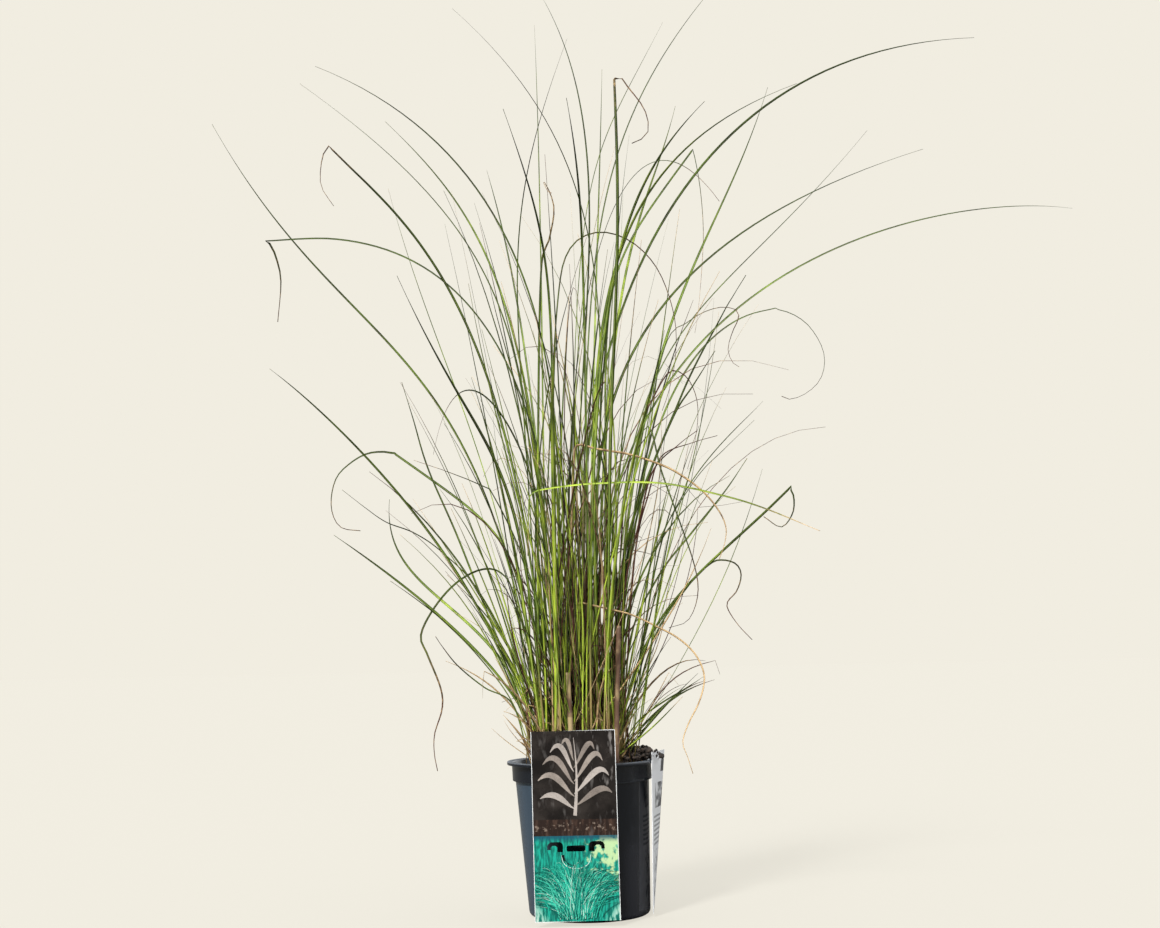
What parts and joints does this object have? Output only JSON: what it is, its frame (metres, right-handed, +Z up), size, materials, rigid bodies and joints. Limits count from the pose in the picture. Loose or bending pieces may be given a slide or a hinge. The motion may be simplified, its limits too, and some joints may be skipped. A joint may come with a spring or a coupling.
{
  "type": "potted miscanthus grass clump",
  "caption": "Clump of fine arching ornamental grass in a round black nursery pot, with a tall hang label and a white strip label on its lip.",
  "frame": {"origin": "middle of the pot's foot, on the surface that it stands on", "axes": "+Z up along the plant, -Y towards the front label, +X to the right seen from the front"},
  "size_m": [1.0381, 0.8402, 1.1951],
  "materials": {
    "pot": "glossy moulded black nursery-pot plastic",
    "compost": "moist dark peat compost with fibres and crumbs",
    "front_label": null,
    "side_label": "white plastic strip with plain grey blocks",
    "dry_cane": "dry straw-coloured cane",
    "stem": "green grass stem with pale sheaths",
    "leaf": "satin green grass leaf with a pale midrib"
  },
  "bodies": {
    "root": {"pot": "pot", "compost": "compost", "front_label": "front_label", "side_label": "side_label", "old_cane_01": "dry_cane", "old_cane_02": "dry_cane", "old_cane_03": "dry_cane", "old_cane_04": "dry_cane", "stem_01": "stem", "stem_02": "stem", "stem_03": "stem", "stem_04": "stem", "stem_05": "stem", "stem_06": "stem", "stem_07": "stem", "stem_08": "stem", "stem_09": "stem", "stem_10": "stem", "leaf_01": "leaf", "leaf_02": "leaf", "leaf_03": "leaf", "leaf_04": "leaf", "leaf_05": "leaf", "leaf_06": "leaf", "leaf_07": "leaf", "leaf_08": "leaf", "leaf_09": "leaf", "leaf_10": "leaf", "leaf_11": "leaf", "leaf_12": "leaf", "leaf_13": "leaf", "leaf_14": "leaf", "leaf_15": "leaf", "leaf_16": "leaf", "leaf_17": "leaf", "leaf_18": "leaf", "leaf_19": "leaf", "leaf_20": "leaf", "leaf_21": "leaf", "leaf_22": "leaf", "leaf_23": "leaf", "leaf_24": "leaf", "leaf_25": "leaf", "leaf_26": "leaf", "leaf_27": "leaf", "leaf_28": "leaf", "leaf_29": "leaf", "leaf_30": "leaf", "leaf_31": "leaf", "leaf_32": "leaf", "leaf_33": "leaf", "leaf_34": "leaf", "leaf_35": "leaf", "leaf_36": "leaf", "leaf_37": "leaf", "leaf_38": "leaf", "leaf_39": "leaf", "leaf_40": "leaf", "leaf_41": "leaf"}
  },
  "joints": []
}
